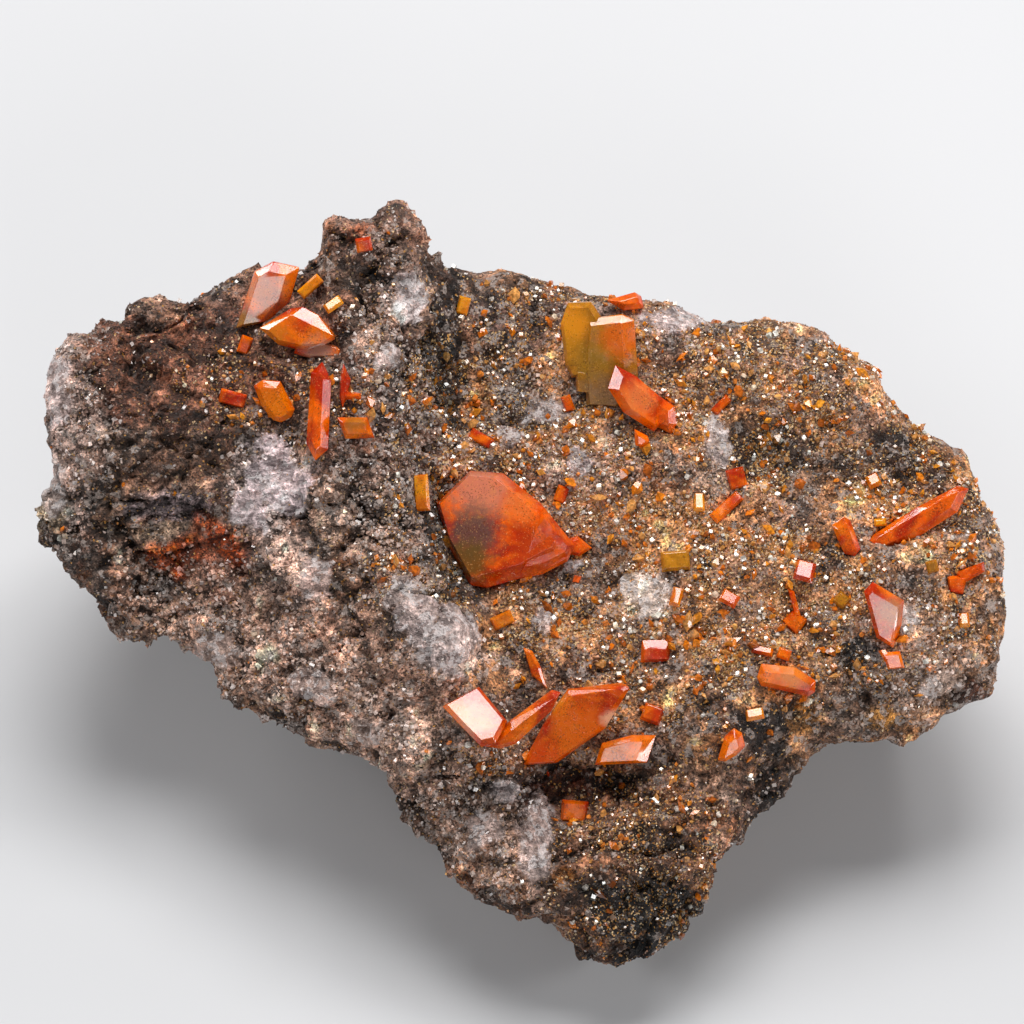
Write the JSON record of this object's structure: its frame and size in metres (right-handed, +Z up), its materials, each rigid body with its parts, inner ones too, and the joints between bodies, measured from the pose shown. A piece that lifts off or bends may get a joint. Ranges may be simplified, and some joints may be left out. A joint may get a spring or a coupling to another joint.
{
  "type": "wulfenite specimen on matrix",
  "caption": "Loose mineral specimen: orange wulfenite tablets standing on a lump of druse-covered rock with a flat underside.",
  "frame": {"origin": "centre of the bounding box on the surface the rock stands on", "axes": "+X along the rock's length, +Z up; the crystal-covered face looks towards -Y and up"},
  "size_m": [0.1208, 0.0846, 0.0548],
  "materials": {
    "rock": "rough, drusy",
    "wulfenite_orange": "bright adamantine, translucent",
    "wulfenite_red": "bright adamantine, translucent",
    "wulfenite_amber": "bright adamantine, translucent",
    "wulfenite_olive": "bright adamantine, translucent"
  },
  "bodies": {
    "root": {"matrix": "rock", "center_plate": "wulfenite_red", "tall_tablet": "wulfenite_orange", "shoulder_group": "wulfenite_orange", "upright_blade": "wulfenite_red", "oval_plate": "wulfenite_orange", "flat_bar": "wulfenite_orange", "side_blades": "wulfenite_red", "red_pair": "wulfenite_red", "back_plate": "wulfenite_olive", "rim_wedge": "wulfenite_red", "foot_wedge": "wulfenite_red", "front_pair": "wulfenite_orange", "front_plate": "wulfenite_orange", "front_wedge": "wulfenite_orange", "right_blade": "wulfenite_red", "right_tablet": "wulfenite_orange", "standing_plate": "wulfenite_orange", "standing_foot": "wulfenite_orange", "lower_slab": "wulfenite_orange", "orange_lump": "wulfenite_orange", "square_tablet": "wulfenite_orange", "leaf": "wulfenite_orange", "small_leaf": "wulfenite_orange", "rim_pair": "wulfenite_red", "twin_blade": "wulfenite_orange", "upper_amber": "wulfenite_amber", "upper_striped": "wulfenite_amber", "left_wedge": "wulfenite_orange", "dark_red_wedge": "wulfenite_red", "crevice_bar": "wulfenite_amber", "crevice_leaf": "wulfenite_orange", "lower_chip": "wulfenite_amber", "striped_bar": "wulfenite_orange", "round_bud": "wulfenite_orange", "white_tab": "wulfenite_amber", "plateau_blade": "wulfenite_orange", "green_flake": "wulfenite_olive", "green_diamond": "wulfenite_olive", "white_chip": "wulfenite_amber", "ledge_tablet": "wulfenite_orange", "white_square": "wulfenite_amber", "peak_tablet": "wulfenite_orange", "gap_amber": "wulfenite_amber", "back_chip": "wulfenite_orange", "center_chip": "wulfenite_orange", "edge_tab": "wulfenite_amber", "olive_cube": "wulfenite_olive", "lobe_tablet": "wulfenite_orange", "framed_square": "wulfenite_orange", "tilted_square": "wulfenite_orange", "white_spear": "wulfenite_amber", "white_bar": "wulfenite_orange", "pink_tab": "wulfenite_orange", "right_amber": "wulfenite_amber"}
  },
  "joints": []
}
